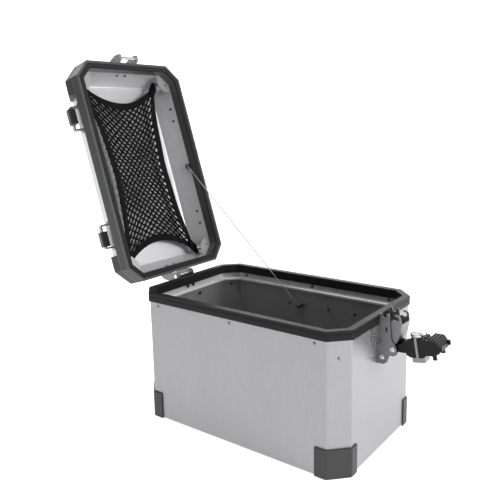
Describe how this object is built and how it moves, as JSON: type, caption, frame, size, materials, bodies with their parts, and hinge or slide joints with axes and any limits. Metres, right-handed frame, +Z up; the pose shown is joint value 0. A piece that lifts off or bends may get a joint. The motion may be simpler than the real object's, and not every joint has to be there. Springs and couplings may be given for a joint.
{
  "type": "motorcycle top case",
  "caption": "Aluminium top case with cut-off corners: a lid hinged at one short end and held by a cable, hook latches with key locks, lashing loops and a net in the lid.",
  "frame": {"origin": "centre of the case floor's underside, on the face that sits on the rack", "axes": "+Z up; +X along the case from the hinged end to the opening end; +Y across it, towards the side with the lid cable"},
  "size_m": [0.7657, 0.2874, 0.7071],
  "materials": {
    "aluminium_sheet": "anodised, satin",
    "black_profile": "black, satin",
    "bare_band": "bare, rolled",
    "black_plastic": "moulded, fine texture",
    "rivet_metal": "bare",
    "cable_steel": "stranded",
    "lid_sheet": "anodised, satin",
    "lid_profile": "dark, satin",
    "seal_rubber": "foam rubber",
    "loop_metal": "brushed",
    "net_cord": "elastic braid",
    "stainless": "brushed",
    "pin_steel": "bright",
    "lever_plastic": "moulded",
    "lock_metal": "turned"
  },
  "bodies": {
    "case": {"case_shell": "aluminium_sheet", "case_rim": "black_profile", "inner_band": "bare_band", "case_corner_guards": "black_plastic", "band_rivets": "rivet_metal", "wall_rivets": "rivet_metal", "case_cable_stud": "rivet_metal", "case_cable_lug": "rivet_metal", "lid_cable": "cable_steel", "opening_latch_base": "stainless", "opening_latch_bolts": "rivet_metal", "opening_hook_pin": "pin_steel", "opening_lever_pin": "pin_steel", "opening_hook_spring": "pin_steel", "hinge_latch_base": "stainless", "hinge_latch_bolts": "rivet_metal", "hinge_hook_pin": "pin_steel", "hinge_lever_pin": "pin_steel", "hinge_hook_spring": "pin_steel"},
    "lid": {"lid_shell": "lid_sheet", "lid_rim": "lid_profile", "lid_seal": "seal_rubber", "lid_corner_guards": "black_plastic", "lashing_loops": "loop_metal", "lashing_feet": "loop_metal", "lashing_sleeves": "black_plastic", "lashing_rivets": "rivet_metal", "net_brackets": "bare_band", "net": "net_cord", "net_hooks": "rivet_metal", "striker_rivets": "rivet_metal", "lid_cable_stud": "rivet_metal", "lid_cable_lug": "rivet_metal", "opening_striker": "stainless", "opening_striker_rod": "pin_steel", "hinge_striker": "stainless", "hinge_striker_rod": "pin_steel"},
    "opening_hook_body": {"opening_hook": "stainless"},
    "opening_lever_body": {"opening_latch_lever": "lever_plastic", "opening_lock_barrel": "lock_metal", "opening_lock_band": "lock_metal", "opening_lock_tongue": "lock_metal"},
    "opening_core_body": {"opening_lock_core": "lock_metal"},
    "hinge_hook_body": {"hinge_hook": "stainless"},
    "hinge_lever_body": {"hinge_latch_lever": "lever_plastic", "hinge_lock_barrel": "lock_metal", "hinge_lock_band": "lock_metal", "hinge_lock_tongue": "lock_metal"},
    "hinge_core_body": {"hinge_lock_core": "lock_metal"}
  },
  "joints": [
    {"name": "lid_hinge", "type": "hinge", "parent": "case", "child": "lid", "pos_m": [-0.235, 0, 0.25], "axis": [0, 1, 0], "range_deg": [0, 107], "deforming": ["lid_cable"]},
    {"name": "opening_lever", "type": "hinge", "parent": "case", "child": "opening_lever_body", "pos_m": [0.25, 0, 0.195], "axis": [0, 1, 0], "range_deg": [0, 100]},
    {"name": "opening_hook", "type": "hinge", "parent": "case", "child": "opening_hook_body", "pos_m": [0.232, 0, 0.178], "axis": [0, 1, 0], "range_deg": [-16.5, 0]},
    {"name": "hinge_lever", "type": "hinge", "parent": "case", "child": "hinge_lever_body", "pos_m": [-0.25, 0, 0.195], "axis": [0, 1, 0], "range_deg": [0, 100]},
    {"name": "hinge_hook", "type": "hinge", "parent": "case", "child": "hinge_hook_body", "pos_m": [-0.232, 0, 0.178], "axis": [0, 1, 0], "range_deg": [-16.5, 0]},
    {"name": "opening_key", "type": "hinge", "parent": "opening_lever_body", "child": "opening_core_body", "pos_m": [0.29038, 0, 0.20212], "axis": [-0.1736, 0, 0.9848], "range_deg": [0, 90]},
    {"name": "hinge_key", "type": "hinge", "parent": "hinge_lever_body", "child": "hinge_core_body", "pos_m": [-0.26, 0, 0.154], "axis": [-1, 0, 0], "range_deg": [0, 90]}
  ],
  "couplings": [
    {"joint": "opening_hook", "follows": "opening_lever", "ratio": -0.165},
    {"joint": "hinge_hook", "follows": "hinge_lever", "ratio": -0.165}
  ]
}
